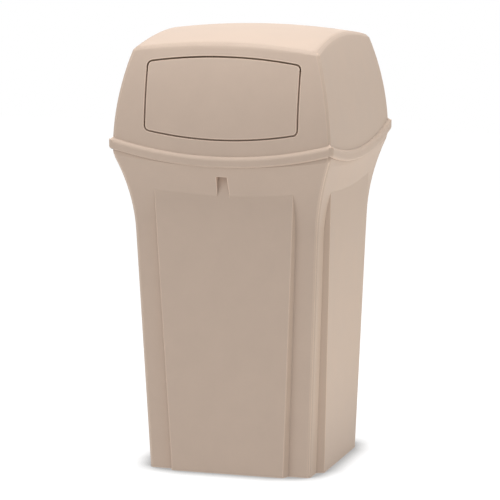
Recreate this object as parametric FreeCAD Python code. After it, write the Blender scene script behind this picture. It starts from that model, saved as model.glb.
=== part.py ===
import FreeCAD, Part
import math
import os

# A square free-standing trash can: a tapered, flared base, a domed lift-off hood,
# and a spring-loaded push door in the front and the back of the hood.
# Millimetres, +Z up, the front door faces -Y, origin on the floor under the centre.

# Main sizes
hood_half = 264.0                # half the width where the hood's sides stand upright
seam_middle_height = 762.0       # where base and hood meet, at the middle of each side
seam_rise = 34.8                 # how much higher they meet at the corners
seat_clearance = 0.3             # between the base's rim and the hood that rests on it

# Hem of the hood
hem_overhang = 7.5               # how far the hem stands out from the hood's sides
hem_height = 26.0
hem_shoulder_drop = 8.0          # how far the hem's top slopes down to its outer face
hem_wall = 6.5
hem_top_thickness = 6.5
hem_corner_radius = 12.0

# Base moulding
rim_side_clearance = 1.5         # between the rim that carries the hood and the hem's skirt
rim_width = 12.0
rim_thickness = 6.0
rim_upright_height = 25.0        # the rim's outer face stands upright this far under the seam
base_floor_inset = 64.8          # the corner pillars on the floor, set in from the rim
base_taper_share = 0.0427        # how far each side leans out, per unit of height
flare_height = 201.0             # from where the straight side starts to curl out, up to the seam
bow_axis_rise = 1608.0           # each side is bent to a shallow bowl about an axis over the seam
base_wall = 5.0
base_floor_thickness = 6.0
base_corner_chamfer = 7.0

# Raised panel on each side of the base
panel_edge_inset = 61.7          # the panel's upright edges, set in from the pillars on the floor
panel_spread_share = 0.047       # how much the panel's half width grows, per unit of height
panel_thickness = 17.2           # how far the panel stands out from the pillars on the floor
panel_lean_share = 0.0345
panel_top_drop = 62.0            # its top is hidden in the flare, which the panel's face runs into
panel_root = 30.0                # how deep the panel's sides run back into the base
panel_draft = 14.5               # how much wider the panel is at that root

# Recess in the front of the flare, over the panel
notch_half_top = 12.5
notch_half_bottom = 15.0
notch_top_drop = 49.0
notch_height = 52.0
notch_lean = 4.5                 # its back leans in behind the panel's plane, by this much at the top

# Hood moulding
hood_upright_drop = 2.0          # the sides stand upright up to this far under the seam
hood_side_radius = 757.0
hood_wall = 5.0
hood_edge_chamfer = 6.0          # upright corners and the edges round the top
crown_rise = 55.2                # from the top of the door to the highest point of the can
crown_cross_radius = 1640.0      # curve of the top from left to right
crown_length_radius = 1120.0     # curve of the top from front to back

# Doors
door_side_margin = 81.6          # from the hood's side to the door's upright edge
door_bottom_rise = 40.1          # from the seam to the middle of the door's lower edge
door_height = 184.7
door_bottom_edge_radius = 950.0
door_top_edge_radius = 1184.0
door_corner_radius = 10.0
door_gap = 4.2
door_wall = 5.0
stop_flange_width = 12.0         # how far the flange reaches past the door's outline
stop_flange_thickness = 3.5
flange_below_hinge = 16.0        # the flange starts this far under the hinge

# Hinges
hinge_drop = 21.8                # from the top of the door to the rod's centre line
hinge_inset = 18.0               # from the hood's outer face to the rod's centre line
rod_radius = 3.0
rod_running_clearance = 0.06
rod_seat_clearance = 0.03
rod_end_length = 4.0
ear_clearance = 3.5              # between the stop flange and the lug that holds the rod
ear_thickness = 8.0
ear_radius = 9.0
ear_corner_radius = 8.0
knuckle_radius = 7.0
knuckle_length = 14.0
knuckle_inset = 2.5              # outer end of each knuckle, from the door's edge
clip_half = 6.0
clip_thickness = 1.0

# Torsion springs
wire_radius = 0.8
leg_width = 1.3
coil_radius = 4.5                # to the middle of the wire
coil_turns = 6
coil_sides = 16                  # flats round the close-wound coil and in the hole of a clip
coil_side_clearance = 1.0        # between the coil and the knuckle beside it
door_leg_length = 30.0
leg_clearance = 0.3              # between a leg's end and the face that it presses on
leg_angle_steps = 40             # halvings in the search for the leg's lean

# Rubber door bumpers
bumper_thickness = 2.0
bumper_half = 3.5
bumper_seat_clearance = 0.05
bumper_inset = 32.4              # from the door's edge

overrun = 20.0                   # how far cutting shapes reach past what they cut
match_tolerance = 0.5            # how near an edge lies to where it is looked for

Vector = FreeCAD.Vector
ORIGIN = Vector(0, 0, 0)
X_AXIS = Vector(1, 0, 0)
Y_AXIS = Vector(0, 1, 0)
Z_AXIS = Vector(0, 0, 1)
HALF_TURN = 180.0
QUARTER_TURN = 90.0
FULL_TURN = 360.0

# Sizes that follow from those above
hem_half = hood_half + hem_overhang
rim_half = hem_half - hem_wall - rim_side_clearance
base_floor_half = rim_half - base_floor_inset
block_half = hem_half + overrun
seam_corner_height = seam_middle_height + seam_rise
panel_floor_half = base_floor_half - panel_edge_inset
panel_floor_depth = base_floor_half + panel_thickness
panel_top_height = seam_middle_height - panel_top_drop
notch_top_height = seam_middle_height - notch_top_drop
hood_upright_height = seam_middle_height - hood_upright_drop
door_half_width = hood_half - door_side_margin
door_bottom_height = seam_middle_height + door_bottom_rise
door_top_height = door_bottom_height + door_height
crown_height = door_top_height + crown_rise
hinge_height = door_top_height - hinge_drop
ear_start = door_half_width + stop_flange_width + ear_clearance
knuckle_end = door_half_width - knuckle_inset
bumper_place = door_half_width - bumper_inset
bumper_offset = hood_wall + seat_clearance
flange_offset = bumper_offset + bumper_thickness
flange_back_offset = flange_offset + stop_flange_thickness


def turned(shape, angle):
    """A copy of a shape, turned about the can's upright centre line."""
    copy = shape.copy()
    copy.rotate(ORIGIN, Z_AXIS, angle)
    return copy


def mirrored_side(shape):
    """A copy of a shape on the other side, left for right."""
    return shape.mirror(ORIGIN, X_AXIS)


def line(start, end):
    return Part.LineSegment(start, end).toShape()


def arc(start, middle, end):
    return Part.Arc(start, middle, end).toShape()


def extruded_face(wire, direction):
    return Part.Face(wire).extrude(direction)


def extruded(edges, direction):
    return Part.Face(Part.Wire(edges)).extrude(direction)


def left_of(point):
    """A profile's point on the other side of the can's middle."""
    return Vector(-point.x, point.y, point.z)


def square_from_profile(edges):
    """The square block whose four sides all have one profile, drawn in the XZ plane."""
    bar = extruded(edges, Y_AXIS * (2 * block_half))
    bar.translate(Y_AXIS * -block_half)
    return bar.common(turned(bar, QUARTER_TURN))


def bowed_from_profile(edges):
    """The same, with each side bent about a level axis far over the can."""
    axis_height = seam_middle_height + bow_axis_rise
    pivot = Vector(0, 0, axis_height)
    half_bend = math.degrees(math.asin(block_half / (axis_height - seam_corner_height - overrun)))
    section = Part.Face(Part.Wire(edges))
    section.rotate(pivot, X_AXIS, -half_bend)
    bar = section.revolve(pivot, X_AXIS, 2 * half_bend)
    return bar.common(turned(bar, QUARTER_TURN))


def corner_edges(block):
    """The upright corner edges of a square block."""
    corners = []
    for edge in block.Edges:
        on_diagonal = all(abs(abs(v.X) - abs(v.Y)) < match_tolerance for v in edge.Vertexes)
        upright = edge.BoundBox.ZLength > edge.BoundBox.XLength
        if on_diagonal and upright:
            corners.append(edge)
    return corners


def chamfer_corners(block, width):
    return block.makeChamfer(width, corner_edges(block))


def round_corners(block, radius):
    return block.makeFillet(radius, corner_edges(block))


def square_prism(half, bottom, top):
    return Part.makeBox(2 * half, 2 * half, top - bottom, Vector(-half, -half, bottom))


def seam_centre():
    """Centre of the sphere that the seam's bowl is part of."""
    return Vector(0, 0, (hood_half ** 2 / seam_rise + seam_middle_height + seam_corner_height) / 2)


def seam_radius():
    return math.hypot(hood_half, seam_centre().z - seam_middle_height)


def seam_ball(drop):
    """All that lies above the seam's bowl, moved down by drop."""
    ball = Part.makeSphere(seam_radius())
    ball.rotate(ORIGIN, Y_AXIS, -QUARTER_TURN)
    ball.translate(seam_centre() - Z_AXIS * drop)
    return ball


# Base

def flare_points(inset):
    """Start, middle and end of the flare's arc, for a side set in by the given wall."""
    lean = math.atan(base_taper_share)
    start_height = seam_middle_height - flare_height
    start_half = base_floor_half + base_taper_share * start_height
    out = rim_half - start_half
    up = flare_height - rim_upright_height
    bend = (out ** 2 + up ** 2) / (2 * (out * math.cos(lean) - up * math.sin(lean)))
    centre_x = start_half + bend * math.cos(lean)
    centre_z = start_height - bend * math.sin(lean)
    radius = bend + inset
    last = math.acos((centre_x - rim_half + inset) / radius)
    points = []
    for angle in (lean, (lean + last) / 2, last):
        points.append(Vector(centre_x - radius * math.cos(angle), 0, centre_z + radius * math.sin(angle)))
    return points


def base_block(inset, bottom):
    start, middle, end = flare_points(inset)
    low = bottom - overrun
    foot = Vector(start.x - base_taper_share * (start.z - low), 0, low)
    head = Vector(end.x, 0, seam_corner_height + overrun)
    edges = [
        line(left_of(foot), foot),
        line(foot, start),
        arc(start, middle, end),
        line(end, head),
        line(head, left_of(head)),
        line(left_of(head), left_of(end)),
        arc(left_of(end), left_of(middle), left_of(start)),
        line(left_of(start), left_of(foot)),
    ]
    return bowed_from_profile(edges).common(square_prism(block_half, bottom, head.z))


def panel_outline(depth, half, bottom):
    """A panel's trapezoid at one depth, for the front side."""
    corners = []
    for height, side in ((bottom, -1), (bottom, 1), (panel_top_height, 1), (panel_top_height, -1)):
        x = side * (half + panel_spread_share * height)
        corners.append(Vector(x, -(depth + panel_lean_share * height), height))
    return Part.makePolygon(corners + corners[:1])


def side_panel(inset, bottom):
    face = panel_outline(panel_floor_depth - inset, panel_floor_half - inset, bottom)
    root_half = panel_floor_half - inset + panel_draft
    root = panel_outline(panel_floor_depth - inset - panel_root, root_half, bottom)
    return Part.makeLoft([face, root], True, True)


def with_panels(block, inset, bottom):
    for side in range(4):
        block = block.fuse(turned(side_panel(inset, bottom), side * QUARTER_TURN))
    return block


def notch_block(grow):
    """The recess's wedge: its back starts in the panel's plane and leans in on its way up."""
    bottom = notch_top_height - notch_height
    corners = []
    for half, height, lean in ((-notch_half_bottom, bottom, 0), (notch_half_bottom, bottom, 0),
                               (notch_half_top, notch_top_height, notch_lean),
                               (-notch_half_top, notch_top_height, notch_lean)):
        x = math.copysign(abs(half) + grow, half)
        z = height + grow if lean else height
        corners.append(Vector(x, lean + grow - panel_floor_depth - panel_lean_share * height, z))
    return Part.Face(Part.makePolygon(corners + corners[:1])).extrude(Y_AXIS * -block_half)


def base_container():
    """The base: one moulded wall with four raised panels, a floor, and a rim for the hood."""
    outside = with_panels(chamfer_corners(base_block(0, 0), base_corner_chamfer), 0, 0)
    cavity = base_block(base_wall, base_floor_thickness)
    cavity = with_panels(cavity, base_wall, base_floor_thickness)
    pocket = notch_block(base_wall).common(outside)
    shell = outside.cut(cavity).fuse(pocket).cut(notch_block(0))
    rim_drop = hem_top_thickness + seat_clearance
    rim_bottom = seam_middle_height - rim_drop - rim_thickness - overrun
    rim_top = seam_corner_height + overrun
    rim = chamfer_corners(square_prism(rim_half, rim_bottom, rim_top), base_corner_chamfer)
    rim = rim.cut(square_prism(rim_half - rim_width, rim_bottom, rim_top))
    rim = rim.common(seam_ball(rim_drop + rim_thickness))
    return shell.fuse(rim).cut(seam_ball(rim_drop)).removeSplitter()


# Hood

def hood_face_half(height):
    """Half the width of the hood at a height."""
    rise = max(height - hood_upright_height, 0)
    return hood_half - hood_side_radius + math.sqrt(hood_side_radius ** 2 - rise ** 2)


def crown_barrel(inset):
    """The barrel whose top is the hood's crown."""
    cross_radius = crown_cross_radius - inset
    axis_height = crown_height - crown_length_radius
    top = crown_height - inset
    shoulder = top - cross_radius + math.sqrt(cross_radius ** 2 - block_half ** 2)
    edges = [
        line(Vector(-block_half, 0, axis_height), Vector(block_half, 0, axis_height)),
        line(Vector(block_half, 0, axis_height), Vector(block_half, 0, shoulder)),
        arc(Vector(block_half, 0, shoulder), Vector(0, 0, top), Vector(-block_half, 0, shoulder)),
        line(Vector(-block_half, 0, shoulder), Vector(-block_half, 0, axis_height)),
    ]
    face = Part.Face(Part.Wire(edges))
    barrel = face.revolve(Vector(0, 0, axis_height), X_AXIS, FULL_TURN)
    barrel.rotate(Vector(0, 0, axis_height), X_AXIS, HALF_TURN)
    return barrel


def hood_block(inset):
    bottom = seam_middle_height - hem_height - overrun
    top = crown_height + overrun
    middle = (hood_upright_height + top) / 2
    foot = Vector(hood_half - inset, 0, bottom)
    upright = Vector(hood_half - inset, 0, hood_upright_height)
    radius = hood_side_radius - inset
    centre_x = hood_half - hood_side_radius

    def on_side(height):
        return Vector(centre_x + math.sqrt(radius ** 2 - (height - hood_upright_height) ** 2), 0, height)

    edges = [
        line(left_of(foot), foot),
        line(foot, upright),
        arc(upright, on_side(middle), on_side(top)),
        line(on_side(top), left_of(on_side(top))),
        arc(left_of(on_side(top)), left_of(on_side(middle)), left_of(upright)),
        line(left_of(upright), left_of(foot)),
    ]
    return square_from_profile(edges).common(crown_barrel(inset))


def hood_outside():
    block = hood_block(0)
    top_edges = [edge for edge in block.Edges if edge.BoundBox.ZMin > door_top_height]
    return block.makeChamfer(hood_edge_chamfer, corner_edges(block) + top_edges)


def hem_shoulder():
    """The sloping top of the hem on the front side: a bar bent to the seam, mitred at the corners."""
    slope = hem_shoulder_drop / hem_overhang
    inside = hood_half - 2 * hood_wall
    pivot = seam_centre()
    bend = math.sqrt(seam_radius() ** 2 - hood_half ** 2)
    corners = []
    for depth, drop in ((hem_half, hem_shoulder_drop), (inside, (inside - hood_half) * slope),
                        (inside, 2 * hem_shoulder_drop), (hem_half, 2 * hem_shoulder_drop)):
        corners.append(Vector(0, -depth, pivot.z - bend - drop))
    section = Part.Face(Part.makePolygon(corners + corners[:1]))
    half_bend = math.degrees(math.asin(block_half / bend))
    section.rotate(pivot, Y_AXIS, -half_bend)
    bar = section.revolve(pivot, Y_AXIS, 2 * half_bend)
    mitre = [ORIGIN, Vector(-block_half, -block_half, 0), Vector(block_half, -block_half, 0), ORIGIN]
    return bar.common(extruded_face(Part.makePolygon(mitre), Z_AXIS * (seam_corner_height + overrun)))


def hem():
    """The hood's lower edge: a sloping shoulder over a skirt that hides the base's rim."""
    bottom = seam_middle_height - hem_height - overrun
    top = seam_corner_height + overrun
    outside = round_corners(square_prism(hem_half, bottom, top), hem_corner_radius)
    band = outside.common(seam_ball(hem_height)).cut(seam_ball(hem_shoulder_drop + hem_wall))
    for side in range(4):
        band = band.fuse(turned(hem_shoulder(), side * QUARTER_TURN).common(outside))
    skirt_room = square_prism(hem_half - hem_wall, bottom, top).cut(seam_ball(hem_top_thickness))
    return band.cut(skirt_room)


def door_outline(grow):
    """A bar along Y with the door's outline, grown all round; it cuts the front side only."""
    half = door_half_width + grow
    low_radius = door_bottom_edge_radius + grow
    high_radius = door_top_edge_radius + grow
    low_centre = door_bottom_height + door_bottom_edge_radius
    high_centre = door_top_height - door_top_edge_radius

    def low(x):
        return Vector(x, -block_half, low_centre - math.sqrt(low_radius ** 2 - x ** 2))

    def high(x):
        return Vector(x, -block_half, high_centre + math.sqrt(high_radius ** 2 - x ** 2))

    edges = [
        arc(low(-half), low(0), low(half)),
        line(low(half), high(half)),
        arc(high(half), high(0), high(-half)),
        line(high(-half), low(-half)),
    ]
    bar = extruded(edges, Y_AXIS * (block_half - hood_half / 2))
    corners = [edge for edge in bar.Edges if edge.BoundBox.YLength > door_gap + door_corner_radius
               and edge.BoundBox.XLength < door_gap]
    return bar.makeFillet(door_corner_radius + grow, corners)


def front_skin(outer_offset, inner_offset):
    """The layer between two depths under the hood's front face."""
    centre = Vector(-block_half, hood_side_radius - hood_half, hood_upright_height)
    outside = Part.makeCylinder(hood_side_radius - outer_offset, 2 * block_half, centre, X_AXIS)
    return outside.cut(Part.makeCylinder(hood_side_radius - inner_offset, 2 * block_half, centre, X_AXIS))


def hinge_depth():
    """Distance of the hinge rod from the can's middle."""
    return hood_face_half(hinge_height) - hinge_inset


def along_hinge(radius, start, length):
    """A cylinder round the front hinge's axis."""
    return Part.makeCylinder(radius, length, Vector(start, -hinge_depth(), hinge_height), X_AXIS)


def flats_along_hinge(radius, start, length):
    """A many-sided bar round the front hinge's axis, with flats that touch the given radius."""
    corner_radius = radius / math.cos(math.pi / coil_sides)
    corners = []
    for side in range(coil_sides):
        angle = 2 * math.pi * side / coil_sides
        corners.append(Vector(start, corner_radius * math.sin(angle) - hinge_depth(),
                              corner_radius * math.cos(angle) + hinge_height))
    return extruded_face(Part.makePolygon(corners + corners[:1]), X_AXIS * length)


def hinge_ear():
    """The lug inside the hood, right of the front door, that holds the end of the rod."""
    depth = ear_radius + hinge_inset
    ear = Part.makeBox(ear_thickness, depth, crown_height - hinge_height + ear_radius,
                       Vector(ear_start, -hinge_depth() - hinge_inset, hinge_height - ear_radius))
    inner_y = ear_radius - hinge_depth()
    corner = [edge for edge in ear.Edges if edge.BoundBox.XLength > ear_thickness / 2
              and edge.BoundBox.ZMax < hinge_height and edge.BoundBox.YMin > inner_y - ear_radius]
    return ear.makeFillet(ear_corner_radius, corner)


def hood():
    """The hood: a domed shell with a hem, two door openings and four hinge lugs."""
    outside = hood_outside()
    shell = outside.common(seam_ball(hem_top_thickness)).fuse(hem()).cut(hood_block(hood_wall))
    opening = door_outline(door_gap)
    ear = hinge_ear().common(outside)
    rod_hole = along_hinge(rod_radius + rod_seat_clearance, -block_half, 2 * block_half)
    rod_hole = rod_hole.common(hood_block(hood_wall))
    for side in (0, HALF_TURN):
        shell = shell.cut(turned(opening, side))
        for lug in (ear, mirrored_side(ear)):
            shell = shell.fuse(turned(lug, side))
        shell = shell.cut(turned(rod_hole, side))
    return shell.removeSplitter()


# Doors and their hinges

def knuckle_starts():
    return (-knuckle_end, knuckle_end - knuckle_length)


def door():
    """A push door: a flush curved plate with a walled edge, a stop flange and two knuckles."""
    plate = door_outline(0).common(front_skin(0, door_wall))
    edge_wall = door_outline(0).cut(door_outline(-door_wall))
    flange = door_outline(stop_flange_width).cut(door_outline(-door_wall))
    below_hinge = Part.makeBox(2 * block_half, block_half, hinge_height - flange_below_hinge,
                               Vector(-block_half, -block_half, 0))
    shape = plate.fuse(edge_wall.common(front_skin(door_wall / 2, flange_back_offset)).common(below_hinge))
    shape = shape.fuse(flange.common(front_skin(flange_offset, flange_back_offset)).common(below_hinge))
    for start in knuckle_starts():
        web = Part.makeBox(knuckle_length, hinge_inset - door_wall / 2, 2 * knuckle_radius,
                           Vector(start, -hinge_depth() - hinge_inset + door_wall / 2,
                                  hinge_height - knuckle_radius))
        web = web.common(front_skin(door_wall / 2, hinge_inset + knuckle_radius))
        shape = shape.fuse(web).fuse(along_hinge(knuckle_radius, start, knuckle_length))
    shape = shape.cut(along_hinge(rod_radius + rod_running_clearance, -block_half, 2 * block_half))
    return shape.removeSplitter()


def hinge_rod():
    reach = ear_start + ear_thickness + rod_end_length
    return along_hinge(rod_radius, -reach, 2 * reach)


def rod_clip():
    """A square push-on clip that keeps the right end of the rod in its lug."""
    start = ear_start + ear_thickness
    clip = Part.makeBox(clip_thickness, 2 * clip_half, 2 * clip_half,
                        Vector(start, -hinge_depth() - clip_half, hinge_height - clip_half))
    return clip.cut(flats_along_hinge(rod_radius + rod_seat_clearance, start, clip_thickness))


def bumper():
    """A rubber pad stuck to the flange beside the right corner, square to the face that it stops on."""
    edge_height = door_bottom_height + door_bottom_edge_radius \
        - math.sqrt(door_bottom_edge_radius ** 2 - bumper_place ** 2)
    height = edge_height - (door_gap + stop_flange_width) / 2
    lean = math.degrees(math.asin((height - hood_upright_height) / hood_side_radius))
    pad = Part.makeBox(2 * bumper_half, bumper_thickness - bumper_seat_clearance, 2 * bumper_half,
                       Vector(bumper_place - bumper_half, bumper_offset, -bumper_half))
    pad.rotate(ORIGIN, X_AXIS, -lean)
    pad.translate(Vector(0, -hood_face_half(height), height))
    return pad


# Torsion springs

def hood_leg_top():
    """Height at which an upright leg beside the coil meets the inside of the hood's face."""
    face_half = hinge_depth() + coil_radius + leg_width / 2 + leg_clearance + hood_wall
    across = face_half - hood_half + hood_side_radius
    return hood_upright_height + math.sqrt(hood_side_radius ** 2 - across ** 2)


def door_leg_angle():
    """Lean of the leg whose end rests on the inside of the door."""
    low = 0.0
    high = math.radians(QUARTER_TURN) / 2
    for step in range(leg_angle_steps):
        angle = (low + high) / 2
        out = coil_radius * math.cos(angle) + door_leg_length * math.sin(angle)
        end_height = hinge_height + coil_radius * math.sin(angle) - door_leg_length * math.cos(angle)
        room = hood_face_half(end_height) - door_wall - hinge_depth() - leg_width / 2 - leg_clearance
        if out < room:
            low = angle
        else:
            high = angle
    return low


def spring_leg(place, low, high, lean):
    """A leg that leaves the front of the coil at a place along the rod, turned about it by its lean."""
    leg = Part.makeBox(leg_width, leg_width, high - low,
                       Vector(place - leg_width / 2, -coil_radius - leg_width / 2, low))
    leg.rotate(ORIGIN, X_AXIS, -lean)
    leg.translate(Vector(0, -hinge_depth(), hinge_height))
    return leg


def spring():
    """A close-wound torsion spring round the rod: one leg down behind the door, one up behind the hood."""
    end = knuckle_end - knuckle_length - coil_side_clearance
    length = 2 * wire_radius * coil_turns
    coil = flats_along_hinge(coil_radius + wire_radius, end - length, length)
    door_leg = spring_leg(end - wire_radius, -door_leg_length, 0, math.degrees(door_leg_angle()))
    hood_leg = spring_leg(end - length + wire_radius, 0, hood_leg_top() - hinge_height, 0)
    bore = flats_along_hinge(coil_radius - wire_radius, end - length, length)
    return coil.fuse(door_leg).fuse(hood_leg).cut(bore)


# Assembly

def side_name(side, rest):
    return ("rear_" if side else "front_") + rest


def all_parts():
    parts = {"base_container": base_container(), "hood": hood()}
    one_door = door()
    rod = hinge_rod()
    pairs = {"door_spring": spring(), "rod_clip": rod_clip(), "door_bumper": bumper()}
    for side in (0, HALF_TURN):
        parts[side_name(side, "door")] = turned(one_door, side)
        parts[side_name(side, "hinge_rod")] = turned(rod, side)
        for name, piece in pairs.items():
            parts[side_name(side, "right_" + name)] = turned(piece, side)
            parts[side_name(side, "left_" + name)] = turned(mirrored_side(piece), side)
    return parts


os.makedirs("parts", exist_ok=True)
for node, shape in all_parts().items():
    print(node, "valid" if shape.isValid() else "NOT VALID", len(shape.Solids), "solid", round(shape.Volume))
    shape.exportStep("parts/" + node + ".step")
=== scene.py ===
import math

import bmesh
import bpy
from mathutils import Matrix, Quaternion, Vector


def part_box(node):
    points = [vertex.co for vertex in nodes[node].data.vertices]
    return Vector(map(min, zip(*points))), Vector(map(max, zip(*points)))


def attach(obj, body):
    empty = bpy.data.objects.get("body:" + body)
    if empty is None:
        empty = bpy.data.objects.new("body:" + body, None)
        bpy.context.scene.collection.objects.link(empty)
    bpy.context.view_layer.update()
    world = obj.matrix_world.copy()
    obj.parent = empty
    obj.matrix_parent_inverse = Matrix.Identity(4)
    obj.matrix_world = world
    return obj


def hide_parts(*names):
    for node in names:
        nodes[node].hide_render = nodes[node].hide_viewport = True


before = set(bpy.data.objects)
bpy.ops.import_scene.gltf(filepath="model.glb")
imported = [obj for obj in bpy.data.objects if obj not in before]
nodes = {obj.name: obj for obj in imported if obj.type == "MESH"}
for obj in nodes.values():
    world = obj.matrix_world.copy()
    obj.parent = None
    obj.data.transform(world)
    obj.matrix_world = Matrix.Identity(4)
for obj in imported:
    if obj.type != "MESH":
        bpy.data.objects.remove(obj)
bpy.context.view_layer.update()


# Base container
# A tapered square tub, moulded in one piece in foamed beige plastic and open at the top.
# Each side has a raised panel, and the collar flares out to the rim that the hood sits on.

BEIGE = (0.640, 0.500, 0.403)
MOTTLE = 0.10
BASE_ROUGHNESS = 0.46
GRAIN_HEIGHT = 0.0002
EDGE_SOFTNESS = 0.002
BASE_CHAMFER_ROUND = 0.003
EDGE_ROUND = 0.0012
ROUND_SEGMENTS = 3
WELD_DISTANCE = 0.00002

# Turns between two neighbouring faces, in degrees, from one flat face to a fold.
FLAT_TURN = 0.4
BASE_CREASE_TURN = 5.0
CHAMFER_TURN = 22.0
SMOOTH_TURN = 32.0
SQUARE_TURN = 75.0
FOLD_TURN = 180.0


def select_edges(piece, low_turn, high_turn):
    """Selects the edges whose two faces turn by more than one angle and at most another, in degrees."""
    bpy.ops.mesh.select_mode(type="EDGE")
    bpy.ops.mesh.select_all(action="DESELECT")
    mesh = bmesh.from_edit_mesh(piece.data)
    for edge in mesh.edges:
        turn = math.degrees(edge.calc_face_angle(0.0))
        edge.select_set(low_turn < turn <= high_turn)
    bmesh.update_edit_mesh(piece.data)


def welded_copy(node, name):
    """A copy of a node's mesh with its triangles welded and its flat faces joined."""
    piece = bpy.data.objects.new(name, nodes[node].data.copy())
    bpy.context.scene.collection.objects.link(piece)
    bpy.ops.object.select_all(action="DESELECT")
    piece.select_set(True)
    bpy.context.view_layer.objects.active = piece
    bpy.ops.object.mode_set(mode="EDIT")
    bpy.ops.mesh.select_all(action="SELECT")
    bpy.ops.mesh.customdata_custom_splitnormals_clear()
    bpy.ops.mesh.remove_doubles(threshold=WELD_DISTANCE)
    bpy.ops.mesh.dissolve_limited(angle_limit=math.radians(FLAT_TURN))
    bpy.ops.object.mode_set(mode="OBJECT")
    return piece


def dressed_moulding(piece, node, body, chamfer_round, crease_turn, plastic):
    """Rounds a moulding's chamfers and edges, shades it evenly and puts it in the place of its node."""
    bpy.ops.object.mode_set(mode="EDIT")
    select_edges(piece, crease_turn, CHAMFER_TURN)
    bpy.ops.mesh.mark_sharp()
    select_edges(piece, CHAMFER_TURN, SQUARE_TURN)
    bpy.ops.mesh.bevel(offset=chamfer_round, segments=ROUND_SEGMENTS, clamp_overlap=True)
    select_edges(piece, SQUARE_TURN, FOLD_TURN)
    bpy.ops.mesh.bevel(offset=EDGE_ROUND, segments=ROUND_SEGMENTS, clamp_overlap=True)
    bpy.ops.object.mode_set(mode="OBJECT")
    bpy.ops.object.shade_smooth_by_angle(angle=math.radians(SMOOTH_TURN))
    even = piece.modifiers.new("even_shading", "WEIGHTED_NORMAL")
    even.keep_sharp = True
    bpy.ops.object.modifier_apply(modifier="even_shading")
    piece.data.materials.clear()
    piece.data.materials.append(plastic)
    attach(piece, body)
    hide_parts(node)


def set_inputs(node, values):
    """Sets the inputs of a shader node by name."""
    for name, value in values.items():
        node.inputs[name].default_value = value


def math_node(tree, operation, second=None):
    """A Math node, with its second number set where one is given."""
    node = tree.nodes.new("ShaderNodeMath")
    node.operation = operation
    if second is not None:
        node.inputs[1].default_value = second
    return node


CLOUD_SCALE = 14.0
CLOUD_DETAIL = 4.0
CLOUD_ROUGHNESS = 0.62
FINE_SCALE = 620.0
FINE_DETAIL = 2.0
FINE_SHARE = 0.35
NOISE_MIDDLE = 0.5
UNEVEN_GLOSS = 0.16
HALF_OPEN = 0.5
# Painted shade in creases: how far the occlusion looks and how dark it makes the colour.
CREASE_SHADE_REACH = 0.006
PAINTED_CREASE_SHADE = 0.84
# Painted highlight on convex edges: how far the inside occlusion looks and how much it lightens the
# colour.
EDGE_HIGHLIGHT_REACH = 0.003
PAINTED_EDGE_HIGHLIGHT = 1.45


def grain_and_painted_light_group():
    """Foamed plastic: faint mottle, a fine leathery grain and uneven gloss, with painted highlights on
    convex edges and painted shade in creases.
    """
    group = bpy.data.node_groups.new("grain_and_painted_light", "ShaderNodeTree")
    for name, kind in (("Colour", "Color"), ("Mottle", "Float"), ("Least Roughness", "Float")):
        group.interface.new_socket(name, in_out="INPUT", socket_type="NodeSocket" + kind)
    for name, kind in (("Colour", "Color"), ("Roughness", "Float"), ("Height", "Float")):
        group.interface.new_socket(name, in_out="OUTPUT", socket_type="NodeSocket" + kind)
    add = group.nodes.new
    link = group.links.new
    given = add("NodeGroupInput")
    result = add("NodeGroupOutput")

    place = add("ShaderNodeTexCoord")
    cloud = add("ShaderNodeTexNoise")
    set_inputs(cloud, {"Scale": CLOUD_SCALE, "Detail": CLOUD_DETAIL, "Roughness": CLOUD_ROUGHNESS})
    fine = add("ShaderNodeTexNoise")
    set_inputs(fine, {"Scale": FINE_SCALE, "Detail": FINE_DETAIL})
    link(place.outputs["Object"], cloud.inputs["Vector"])
    link(place.outputs["Object"], fine.inputs["Vector"])

    both = math_node(group, "MULTIPLY_ADD", FINE_SHARE)
    centred = math_node(group, "SUBTRACT", NOISE_MIDDLE * (1.0 + FINE_SHARE))
    spread = math_node(group, "MULTIPLY")
    mottled = math_node(group, "ADD", 1.0)
    link(fine.outputs["Fac"], both.inputs[0])
    link(cloud.outputs["Fac"], both.inputs[2])
    link(both.outputs[0], centred.inputs[0])
    link(centred.outputs[0], spread.inputs[0])
    link(given.outputs["Mottle"], spread.inputs[1])
    link(spread.outputs[0], mottled.inputs[0])

    # Painted shade: the colour is darkened in creases, corners and under the hem, wherever occlusion finds
    # nearby surfaces.
    crease = add("ShaderNodeAmbientOcclusion")
    set_inputs(crease, {"Distance": CREASE_SHADE_REACH})
    crease_shade = add("ShaderNodeMapRange")
    set_inputs(crease_shade, {"From Min": HALF_OPEN, "To Min": PAINTED_CREASE_SHADE})
    # Painted highlight: the colour is lightened on convex edges, found by occlusion traced inside the
    # wall.
    edge = add("ShaderNodeAmbientOcclusion")
    edge.inside = True
    edge.only_local = True
    set_inputs(edge, {"Distance": EDGE_HIGHLIGHT_REACH})
    edge_highlight = add("ShaderNodeMapRange")
    set_inputs(edge_highlight, {"From Min": HALF_OPEN, "To Min": PAINTED_EDGE_HIGHLIGHT})
    # The painted highlight and the painted crease shade multiply into one level of painted light.
    painted_light_level = math_node(group, "MULTIPLY")
    link(crease.outputs["AO"], crease_shade.inputs["Value"])
    link(edge.outputs["AO"], edge_highlight.inputs["Value"])
    link(crease_shade.outputs["Result"], painted_light_level.inputs[0])
    link(edge_highlight.outputs["Result"], painted_light_level.inputs[1])

    level = math_node(group, "MULTIPLY")
    tone = add("ShaderNodeHueSaturation")
    gloss = math_node(group, "MULTIPLY_ADD", UNEVEN_GLOSS)
    link(painted_light_level.outputs[0], level.inputs[0])
    link(mottled.outputs[0], level.inputs[1])
    link(level.outputs[0], tone.inputs["Value"])
    link(given.outputs["Colour"], tone.inputs["Color"])
    link(tone.outputs["Color"], result.inputs["Colour"])
    link(cloud.outputs["Fac"], gloss.inputs[0])
    link(given.outputs["Least Roughness"], gloss.inputs[2])
    link(gloss.outputs[0], result.inputs["Roughness"])
    link(fine.outputs["Fac"], result.inputs["Height"])
    return group


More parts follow.
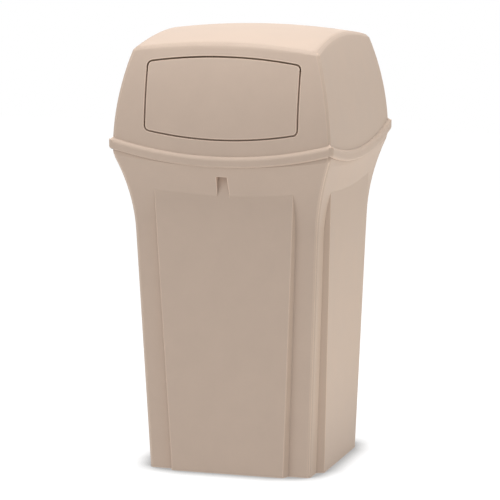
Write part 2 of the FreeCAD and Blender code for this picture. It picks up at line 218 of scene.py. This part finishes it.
GRAIN_AND_PAINTED_LIGHT = grain_and_painted_light_group()
PLASTIC_SPECULAR = 0.35
GRAIN_STRENGTH = 0.35
EDGE_SAMPLES = 8


def moulded_plastic(name, colour, mottle, least_roughness, edge_softness):
    """A moulded material whose edges catch the light as if rounded by the given softness."""
    material = bpy.data.materials.new(name)
    material.use_nodes = True
    tree = material.node_tree
    shader = tree.nodes["Principled BSDF"]
    set_inputs(shader, {"Specular IOR Level": PLASTIC_SPECULAR})
    # This group's colour carries the painted edge highlights and painted crease shade as well as the
    # mottle.
    grain_and_painted_light_node = tree.nodes.new("ShaderNodeGroup")
    grain_and_painted_light_node.node_tree = GRAIN_AND_PAINTED_LIGHT
    set_inputs(grain_and_painted_light_node, {"Colour": (*colour, 1.0), "Mottle": mottle, "Least Roughness": least_roughness})
    edge = tree.nodes.new("ShaderNodeBevel")
    edge.samples = EDGE_SAMPLES
    set_inputs(edge, {"Radius": edge_softness})
    bump = tree.nodes.new("ShaderNodeBump")
    set_inputs(bump, {"Strength": GRAIN_STRENGTH, "Distance": GRAIN_HEIGHT})
    tree.links.new(edge.outputs["Normal"], bump.inputs["Normal"])
    tree.links.new(grain_and_painted_light_node.outputs["Height"], bump.inputs["Height"])
    tree.links.new(grain_and_painted_light_node.outputs["Colour"], shader.inputs["Base Color"])
    tree.links.new(grain_and_painted_light_node.outputs["Roughness"], shader.inputs["Roughness"])
    tree.links.new(bump.outputs["Normal"], shader.inputs["Normal"])
    return material


base_plastic = moulded_plastic("base_plastic", BEIGE, MOTTLE, BASE_ROUGHNESS, EDGE_SOFTNESS)
base = welded_copy("base_container", "base_moulding")
dressed_moulding(base, "base_container", "base", BASE_CHAMFER_ROUND, BASE_CREASE_TURN, base_plastic)


# Hood
# A domed cover in the same plastic, with a rolled hem that drops over the rim of the base.
# The roof turns over softly at its edges, and the lugs for the hinge rods are moulded on.

HOOD_ROUGHNESS = 0.44
HOOD_CHAMFER_ROUND = 0.003
CREASE_TURN = 20.0
HEM_CORNER_RADIUS = 0.012
HEM_CORNER_MARGIN = 0.0002
HEM_FACE_DEPTH = 0.0005
HEM_FOOT_ROUND = 0.0045
HEM_TOP_ROUND = 0.006
HEM_TOP_LIFT = 0.004
HEM_SEGMENTS = 5
HEM_FOOT_TURNS = (60.0, 90.0)
HEM_SHOULDER_TURNS = (30.0, 60.0)
HEM_LIFTED_TURNS = (45.0, 80.0)
ROOF_SOFTNESS = 0.016
SOFTNESS_START_DROP = 0.050
SOFTNESS_FULL_DROP = 0.038

hood_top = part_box("hood")[1].z
hem_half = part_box("hood")[1].x
hem_core = hem_half - HEM_CORNER_RADIUS


def select_hem_edges(piece, turns, corner_reach):
    """Selects edges of the hem's outer face, by their turn and by how far round a corner they go."""
    select_edges(piece, *turns)
    mesh = bmesh.from_edit_mesh(piece.data)
    for edge in mesh.edges:
        for corner in edge.verts:
            across = abs(corner.co.x)
            along = abs(corner.co.y)
            beyond_core = math.hypot(max(across - hem_core, 0.0), max(along - hem_core, 0.0))
            behind_face = beyond_core < HEM_CORNER_RADIUS - HEM_FACE_DEPTH
            if behind_face or min(across, along) > corner_reach:
                edge.select_set(False)
    bmesh.update_edit_mesh(piece.data)


def soften_roof_edge(material):
    """Widens the soft edges of a material from the top of the hood's walls up to its roof."""
    tree = material.node_tree
    place = tree.nodes.new("ShaderNodeTexCoord")
    axes = tree.nodes.new("ShaderNodeSeparateXYZ")
    softness = tree.nodes.new("ShaderNodeMapRange")
    set_inputs(softness, {"From Min": hood_top - SOFTNESS_START_DROP, "To Min": EDGE_SOFTNESS,
                          "From Max": hood_top - SOFTNESS_FULL_DROP, "To Max": ROOF_SOFTNESS})
    tree.links.new(place.outputs["Object"], axes.inputs["Vector"])
    tree.links.new(axes.outputs["Z"], softness.inputs["Value"])
    tree.links.new(softness.outputs["Result"], tree.nodes["Bevel"].inputs["Radius"])


hood_plastic = moulded_plastic("hood_plastic", BEIGE, MOTTLE, HOOD_ROUGHNESS, EDGE_SOFTNESS)
soften_roof_edge(hood_plastic)
hood = welded_copy("hood", "hood_moulding")
bpy.ops.object.mode_set(mode="EDIT")
select_hem_edges(hood, HEM_FOOT_TURNS, hem_half)
bpy.ops.mesh.bevel(offset=HEM_FOOT_ROUND, segments=HEM_SEGMENTS, clamp_overlap=False)
select_hem_edges(hood, HEM_SHOULDER_TURNS, hem_half)
bpy.ops.transform.translate(value=(0.0, 0.0, HEM_TOP_LIFT))
select_hem_edges(hood, HEM_LIFTED_TURNS, hem_core + HEM_CORNER_MARGIN)
bpy.ops.mesh.bevel(offset=HEM_TOP_ROUND, segments=HEM_SEGMENTS, clamp_overlap=False)
bpy.ops.object.mode_set(mode="OBJECT")
dressed_moulding(hood, "hood", "hood", HOOD_CHAMFER_ROUND, CREASE_TURN, hood_plastic)


# Push doors
# Curved plates in the same plastic, flush with the hood, one in the front and one in the back.
# Each hangs on two knuckles moulded on its inside, and a flange stops it inside the hood.

DOOR_ROUGHNESS = 0.42
DOOR_CHAMFER_ROUND = 0.001
SIDES = ("front", "rear")

door_plastic = moulded_plastic("door_plastic", BEIGE, MOTTLE, DOOR_ROUGHNESS, EDGE_SOFTNESS)
for side in SIDES:
    door_node = side + "_door"
    door = welded_copy(door_node, side + "_door_moulding")
    dressed_moulding(door, door_node, door_node, DOOR_CHAMFER_ROUND, CREASE_TURN, door_plastic)


# Hinge rods, clips and bumpers
# Zinc-plated rods carry the doors, held by push-on clips of spring steel at each end.
# Rubber pads on the doors' flanges quiet them against the hood.

ZINC_GREY = (0.62, 0.62, 0.60)
ZINC_ROUGHNESS = 0.32
STEEL_GREY = (0.38, 0.38, 0.40)
STEEL_ROUGHNESS = 0.28
STREAK_SCALE = 300.0
STREAK_SHADE = 0.8
STREAK_GLOSS = 0.2
RUBBER_BLACK = (0.03, 0.03, 0.03)
RUBBER_MOTTLE = 0.2
RUBBER_ROUGHNESS = 0.6
RUBBER_SOFTNESS = 0.0005


def small_metal(name, colour, roughness):
    """Plain metal for small hardware, with fine streaks in its tone and gloss."""
    material = bpy.data.materials.new(name)
    material.use_nodes = True
    tree = material.node_tree
    shader = tree.nodes["Principled BSDF"]
    set_inputs(shader, {"Metallic": 1.0})
    place = tree.nodes.new("ShaderNodeTexCoord")
    streak = tree.nodes.new("ShaderNodeTexNoise")
    set_inputs(streak, {"Scale": STREAK_SCALE})
    tones = tree.nodes.new("ShaderNodeValToRGB")
    tones.color_ramp.elements[0].color = (*[STREAK_SHADE * part for part in colour], 1.0)
    tones.color_ramp.elements[1].color = (*colour, 1.0)
    gloss = tree.nodes.new("ShaderNodeMapRange")
    set_inputs(gloss, {"To Min": roughness * (1.0 - STREAK_GLOSS),
                       "To Max": roughness * (1.0 + STREAK_GLOSS)})
    tree.links.new(place.outputs["Object"], streak.inputs["Vector"])
    tree.links.new(streak.outputs["Fac"], tones.inputs["Fac"])
    tree.links.new(tones.outputs["Color"], shader.inputs["Base Color"])
    tree.links.new(streak.outputs["Fac"], gloss.inputs["Value"])
    tree.links.new(gloss.outputs["Result"], shader.inputs["Roughness"])
    return material


spring_steel = small_metal("spring_steel", STEEL_GREY, STEEL_ROUGHNESS)
finishes = {
    "hinge_rod": small_metal("zinc_plate", ZINC_GREY, ZINC_ROUGHNESS),
    "rod_clip": spring_steel,
    "door_bumper": moulded_plastic("bumper_rubber", RUBBER_BLACK, RUBBER_MOTTLE, RUBBER_ROUGHNESS,
                                   RUBBER_SOFTNESS),
}
for node, piece in nodes.items():
    for ending, finish in finishes.items():
        if node.endswith(ending):
            piece.material_slots[0].material = finish


# Torsion springs
# Drawn steel wire, wound in close turns round the hinge rods, two springs to a door.
# One leg bears up against the inside of the hood, and the other presses the door shut from behind.

WIRE_RADIUS = 0.00065
WIRE_SIDES = 10
WIRE_SMOOTH_TURN = 50.0
COIL_RADIUS = 0.0045
COIL_TURNS = 5
COIL_INSET = 0.0008
STEPS_PER_TURN = 24
DOOR_LEG_LENGTH = 0.030
DOOR_LEG_LEAN = math.radians(28.8)
FULL_TURN = 2.0 * math.pi
HANDS = ("left", "right")

spring_low, spring_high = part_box("front_right_door_spring")
rod_low, rod_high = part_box("front_hinge_rod")
rod_depth = (rod_low.y + rod_high.y) / 2
rod_height = (rod_low.z + rod_high.z) / 2
hinge_line = Vector((spring_low.x + COIL_INSET, rod_depth, rod_height))
hood_turns = COIL_TURNS - 1
wound_turns = COIL_TURNS - DOOR_LEG_LEAN / FULL_TURN
coil_pitch = (spring_high.x - spring_low.x - 2 * COIL_INSET) / wound_turns


def wound_wire(name, first_turn, turns):
    """Wire wound round the hinge line, starting at its front and at a whole number of turns along it."""
    bpy.ops.object.select_all(action="DESELECT")
    bpy.ops.mesh.primitive_circle_add(vertices=WIRE_SIDES, radius=WIRE_RADIUS)
    wire = bpy.context.object
    wire.name = name
    bpy.ops.object.mode_set(mode="EDIT")
    bpy.ops.transform.translate(value=(first_turn * coil_pitch, -COIL_RADIUS, 0.0))
    bpy.ops.object.mode_set(mode="OBJECT")
    winding = wire.modifiers.new("winding", "SCREW")
    winding.axis = "X"
    winding.angle = turns * FULL_TURN
    winding.screw_offset = turns * coil_pitch
    winding.steps = round(turns * STEPS_PER_TURN)
    winding.render_steps = winding.steps
    bpy.ops.object.modifier_apply(modifier="winding")
    return wire


def draw_leg(wire, end, travel):
    """Draws the wire straight out from one end of its turns, closes both ends and sets it on its rod."""
    bpy.ops.object.mode_set(mode="EDIT")
    bpy.ops.mesh.select_mode(type="EDGE")
    bpy.ops.mesh.select_all(action="DESELECT")
    mesh = bmesh.from_edit_mesh(wire.data)
    far_end = []
    for edge in mesh.edges:
        near = all((corner.co - end).length < 2 * WIRE_RADIUS for corner in edge.verts)
        edge.select_set(edge.is_boundary and near)
        if edge.is_boundary and not near:
            far_end.append(edge)
    bmesh.ops.contextual_create(mesh, geom=far_end)
    bmesh.update_edit_mesh(wire.data)
    bpy.ops.mesh.extrude_region_move(TRANSFORM_OT_translate={"value": travel})
    bpy.ops.mesh.edge_face_add()
    bpy.ops.mesh.select_all(action="SELECT")
    bpy.ops.transform.translate(value=hinge_line)
    bpy.ops.mesh.normals_make_consistent(inside=False)
    bpy.ops.object.mode_set(mode="OBJECT")
    bpy.ops.object.shade_smooth_by_angle(angle=math.radians(WIRE_SMOOTH_TURN))
    wire.data.materials.append(spring_steel)


def fitted_copy(model, name, side, hand):
    """A copy of a spring's wire for one end of a rod: mirrored on the left, turned about for the back."""
    piece = bpy.data.objects.new(name, model.data.copy())
    bpy.context.scene.collection.objects.link(piece)
    if hand == "left":
        piece.data.transform(Matrix.Diagonal((-1.0, 1.0, 1.0, 1.0)))
        piece.data.flip_normals()
    if side == "rear":
        piece.data.transform(Matrix.Rotation(math.pi, 4, "Z"))
    return piece


coil_model = wound_wire("coil_model", 0, hood_turns)
coil_start = Vector((0.0, -COIL_RADIUS, 0.0))
draw_leg(coil_model, coil_start, (0.0, 0.0, spring_high.z - hinge_line.z))

leg_model = wound_wire("leg_model", hood_turns, wound_turns - hood_turns)
leg_start = Vector((wound_turns * coil_pitch,
                    -COIL_RADIUS * math.cos(DOOR_LEG_LEAN),
                    COIL_RADIUS * math.sin(DOOR_LEG_LEAN)))
leg_travel = (0.0,
              -DOOR_LEG_LENGTH * math.sin(DOOR_LEG_LEAN),
              -DOOR_LEG_LENGTH * math.cos(DOOR_LEG_LEAN))
draw_leg(leg_model, leg_start, leg_travel)

for side in SIDES:
    for hand in HANDS:
        coil = fitted_copy(coil_model, f"{side}_{hand}_spring_coil", side, hand)
        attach(coil, "hood")
        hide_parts(f"{side}_{hand}_door_spring")
        leg = fitted_copy(leg_model, f"{side}_{hand}_spring_door_leg", side, hand)
        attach(leg, side + "_door")
for model in (coil_model, leg_model):
    bpy.data.objects.remove(model)


# Floor, light and camera
# A white paper floor with a soft contact shadow, lit by softboxes overhead, on the left and on the right.
# A card on the floor lifts the right side, and a weak glow inside the hood shows through the door gaps.

PLAIN_WHITE = (1.0, 1.0, 1.0)
WARM_WHITE = (1.0, 0.95, 0.82)
FLOOR_SIZE = 12.0
FLOOR_DROP = 0.0004
FLOOR_GREY_SEEN = 0.20
FLOOR_GREY_AS_LIGHT = 0.30
FLOOR_GLOW_OPEN = 0.95
FLOOR_GLOW_CONTACT = 0.32
FLOOR_GLOW_AS_LIGHT = 0.63
CONTACT_REACH = 0.050
WORLD_AS_LIGHT = 0.30
WORLD_SEEN = 1.0


def seen_by_viewer(tree):
    """An output that is 1 where a surface is seen, straight, in a gloss or through glass, and else 0."""
    ray = tree.nodes.new("ShaderNodeLightPath")
    direct = math_node(tree, "MAXIMUM")
    any_way = math_node(tree, "MAXIMUM")
    tree.links.new(ray.outputs["Is Camera Ray"], direct.inputs[0])
    tree.links.new(ray.outputs["Is Glossy Ray"], direct.inputs[1])
    tree.links.new(direct.outputs[0], any_way.inputs[0])
    tree.links.new(ray.outputs["Is Transmission Ray"], any_way.inputs[1])
    return any_way.outputs[0]


def white_paper():
    """Paper that is seen near white, with a grey shadow where the object stands on it."""
    material = bpy.data.materials.new("white_paper")
    material.use_nodes = True
    tree = material.node_tree
    tree.nodes.clear()
    output = tree.nodes.new("ShaderNodeOutputMaterial")
    seen = seen_by_viewer(tree)
    contact = tree.nodes.new("ShaderNodeAmbientOcclusion")
    set_inputs(contact, {"Distance": CONTACT_REACH})
    shadow = tree.nodes.new("ShaderNodeMapRange")
    set_inputs(shadow, {"From Min": HALF_OPEN, "To Min": FLOOR_GLOW_CONTACT, "To Max": FLOOR_GLOW_OPEN})
    strength = tree.nodes.new("ShaderNodeMapRange")
    set_inputs(strength, {"To Min": FLOOR_GLOW_AS_LIGHT})
    grey = tree.nodes.new("ShaderNodeMapRange")
    set_inputs(grey, {"To Min": FLOOR_GREY_AS_LIGHT, "To Max": FLOOR_GREY_SEEN})
    matt = tree.nodes.new("ShaderNodeBsdfDiffuse")
    glow = tree.nodes.new("ShaderNodeEmission")
    both = tree.nodes.new("ShaderNodeAddShader")
    tree.links.new(contact.outputs["AO"], shadow.inputs["Value"])
    tree.links.new(seen, strength.inputs["Value"])
    tree.links.new(shadow.outputs["Result"], strength.inputs["To Max"])
    tree.links.new(strength.outputs["Result"], glow.inputs["Strength"])
    tree.links.new(seen, grey.inputs["Value"])
    tree.links.new(grey.outputs["Result"], matt.inputs["Color"])
    tree.links.new(matt.outputs[0], both.inputs[0])
    tree.links.new(glow.outputs[0], both.inputs[1])
    tree.links.new(both.outputs[0], output.inputs["Surface"])
    return material


bpy.ops.object.select_all(action="DESELECT")
bpy.ops.mesh.primitive_plane_add(size=FLOOR_SIZE, location=(0.0, 0.0, -FLOOR_DROP))
floor = bpy.context.object
floor.name = "studio_floor"
floor.data.materials.append(white_paper())

world = bpy.data.worlds.new("white_studio")
bpy.context.scene.world = world
world.use_nodes = True
sky = world.node_tree
background = sky.nodes["Background"]
set_inputs(background, {"Color": (*PLAIN_WHITE, 1.0)})
brightness = sky.nodes.new("ShaderNodeMapRange")
set_inputs(brightness, {"To Min": WORLD_AS_LIGHT, "To Max": WORLD_SEEN})
sky.links.new(seen_by_viewer(sky), brightness.inputs["Value"])
sky.links.new(brightness.outputs["Result"], background.inputs["Strength"])


def softbox(name, place, aim, size, power, tint):
    """A square lamp at one place, turned to face another."""
    bpy.ops.object.light_add(type="AREA", location=place)
    lamp = bpy.context.object
    lamp.name = name
    lamp.data.shape = "SQUARE"
    lamp.data.size = size
    lamp.data.energy = power
    lamp.data.color = tint
    lamp.rotation_euler = (Vector(aim) - Vector(place)).to_track_quat("-Z", "Y").to_euler()
    lamp.visible_camera = False


softbox("overhead_softbox", place=(0.1, -0.25, 3.5), aim=(0.1, -0.2, 0.8),
        size=1.7, power=66.0, tint=PLAIN_WHITE)
softbox("left_softbox", place=(-2.0, -2.5, 2.6), aim=(0.0, 0.0, 0.6),
        size=1.5, power=23.0, tint=PLAIN_WHITE)
softbox("right_softbox", place=(2.9, 0.3, 1.3), aim=(0.0, 0.0, 0.65),
        size=1.2, power=8.0, tint=WARM_WHITE)
softbox("floor_card", place=(0.9, 0.0, 0.02), aim=(0.9, 0.0, 1.0),
        size=0.9, power=2.0, tint=WARM_WHITE)
softbox("hood_glow", place=(0.0, 0.0, 0.80), aim=(0.0, 0.0, 1.0),
        size=0.3, power=0.15, tint=WARM_WHITE)

VIEW_ANGLE = math.radians(17.2)
VIEW_HEIGHT = math.radians(9.65)
VIEW_ROLL = math.radians(-0.1)
VIEW_DISTANCE = 7.20
AIM_HEIGHT = 0.495
FRAME_PIXELS = 500.0
LENS_PIXELS = 3000.0
CENTRE_RIGHT_PIXELS = 3.8
CENTRE_DOWN_PIXELS = 2.6
SENSOR_WIDTH = 36.0

back = Vector((math.sin(VIEW_ANGLE) * math.cos(VIEW_HEIGHT),
               -math.cos(VIEW_ANGLE) * math.cos(VIEW_HEIGHT),
               math.sin(VIEW_HEIGHT)))
right = Vector((math.cos(VIEW_ANGLE), math.sin(VIEW_ANGLE), 0.0))
up = back.cross(right)
metres_per_pixel = VIEW_DISTANCE / LENS_PIXELS
centre_right = CENTRE_RIGHT_PIXELS * metres_per_pixel
centre_down = CENTRE_DOWN_PIXELS * metres_per_pixel
view_aim = Vector((0.0, 0.0, AIM_HEIGHT)) - right * centre_right + up * centre_down
view_turn = back.to_track_quat("Z", "Y") @ Quaternion((0.0, 0.0, 1.0), VIEW_ROLL)
bpy.ops.object.camera_add(location=view_aim + back * VIEW_DISTANCE, rotation=view_turn.to_euler())
camera = bpy.context.object
camera.data.sensor_width = SENSOR_WIDTH
camera.data.lens = SENSOR_WIDTH * LENS_PIXELS / FRAME_PIXELS
bpy.context.scene.camera = camera
bpy.context.scene.view_settings.view_transform = "Standard"
